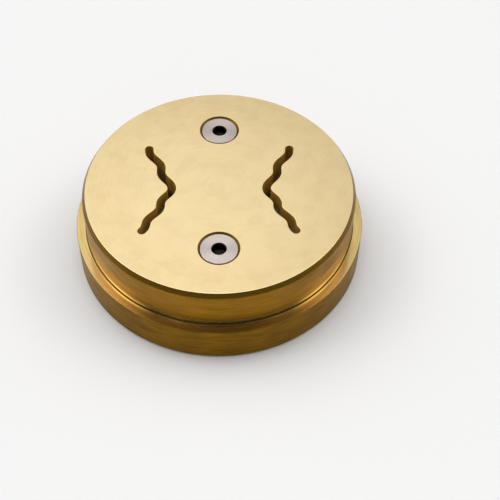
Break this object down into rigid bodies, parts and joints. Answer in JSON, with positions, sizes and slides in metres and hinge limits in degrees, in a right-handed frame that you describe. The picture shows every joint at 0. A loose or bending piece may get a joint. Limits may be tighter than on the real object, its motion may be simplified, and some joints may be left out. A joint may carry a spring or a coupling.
{
  "type": "pasta extrusion die",
  "caption": "Round brass pasta die with a stepped rim, mirrored wavy slots in its front face and a feed plate held in its back by countersunk socket screws.",
  "frame": {"origin": "centre of the back face, on the die's axis", "axes": "+Z along the die's axis, out of the slotted face; the screws lie on Y and the slots lie to either side of it, on X"},
  "size_m": [0.057, 0.057, 0.0167],
  "materials": {
    "die_brass": "turned, satin",
    "plate_brass": "turned and milled, satin",
    "screw_steel": "stainless, turned head"
  },
  "bodies": {
    "root": {"die_body": "die_brass", "feed_plate": "plate_brass", "socket_screws": "screw_steel"}
  },
  "joints": []
}
